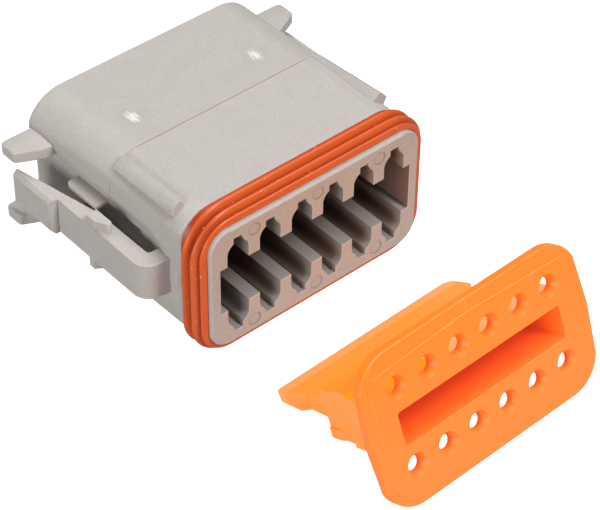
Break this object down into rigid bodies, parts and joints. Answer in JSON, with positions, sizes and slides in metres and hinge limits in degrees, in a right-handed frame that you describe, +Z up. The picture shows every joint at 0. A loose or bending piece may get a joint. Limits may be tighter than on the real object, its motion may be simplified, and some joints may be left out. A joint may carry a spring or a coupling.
{
  "type": "sealed automotive connector",
  "caption": "Sealed rectangular plug housing with keyed contact cavities, side latches, a ribbed face seal and a rear wire grommet, with its wedge lock taken off and lying in front.",
  "frame": {"origin": "on the floor, under the middle of the plug's width and the middle of the whole length", "axes": "+X along the rows of cavities, to the right when looking from the wedge lock to the plug; +Y from the mating face to the wires; +Z up"},
  "size_m": [0.0532, 0.0794, 0.0257],
  "materials": {
    "housing": "warm grey moulded plastic with a fine matt texture",
    "seal": "red-orange silicone, satin",
    "grommet": "red-orange silicone, satin",
    "lock": "orange moulded plastic, satin, slightly translucent"
  },
  "bodies": {
    "root": {"housing": "housing", "interface_seal": "seal", "wire_grommet": "grommet", "wedge_lock": "lock"}
  },
  "joints": []
}
